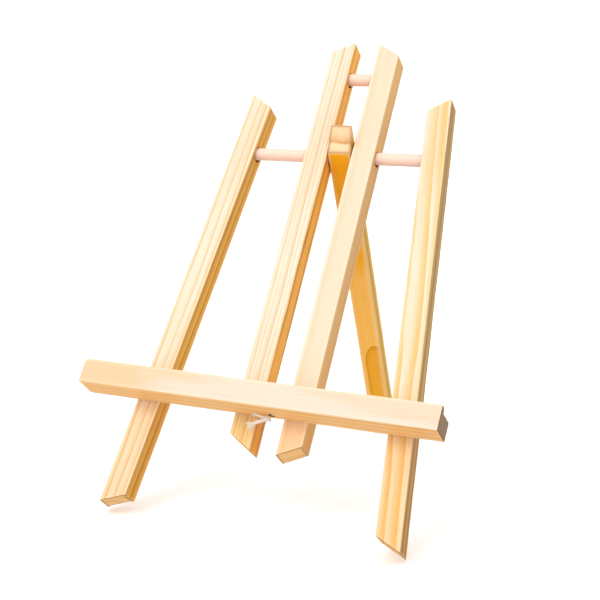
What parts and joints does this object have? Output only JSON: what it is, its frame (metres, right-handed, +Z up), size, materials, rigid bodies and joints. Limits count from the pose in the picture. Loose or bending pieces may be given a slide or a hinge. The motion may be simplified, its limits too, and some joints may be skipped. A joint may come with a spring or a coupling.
{
  "type": "table easel",
  "caption": "Small folding table easel in pine: a leaning frame of slats and dowels, a canvas ledge, and a rear leg held by a string.",
  "frame": {"origin": "on the table top, under the middle of the wooden outline with the rear leg open", "axes": "+Z up; the front, where the canvas rests, faces -Y; +X is to the right as seen from the front"},
  "size_m": [0.2248, 0.2496, 0.2674],
  "materials": {
    "slat_pine": "planed, unvarnished, straight grain",
    "ledge_pine": "planed, unvarnished, slightly pinker than the slats",
    "leg_pine": "planed, unvarnished, orange heartwood",
    "birch_dowel": "smooth turned, pale",
    "cotton_string": "twisted, undyed, frayed ends",
    "pin_steel": "bright wire"
  },
  "bodies": {
    "front_frame": {"left_outer_leg": "slat_pine", "right_outer_leg": "slat_pine", "left_inner_upright": "slat_pine", "right_inner_upright": "slat_pine", "pivot_dowel": "birch_dowel", "top_dowel": "birch_dowel", "ledge": "ledge_pine", "left_outer_leg_pin": "pin_steel", "right_outer_leg_pin": "pin_steel", "left_inner_upright_pin": "pin_steel", "right_inner_upright_pin": "pin_steel", "check_string": "cotton_string", "front_knot": "cotton_string"},
    "swinging_leg": {"rear_leg": "leg_pine", "rear_knot": "cotton_string"}
  },
  "joints": [
    {"name": "rear_leg_fold", "type": "hinge", "parent": "front_frame", "child": "swinging_leg", "pos_m": [0.00368, 0.03347, 0.19801], "axis": [-0.9997, -0.014, -0.0178], "range_deg": [0, 61.9], "deforming": ["check_string"]}
  ]
}
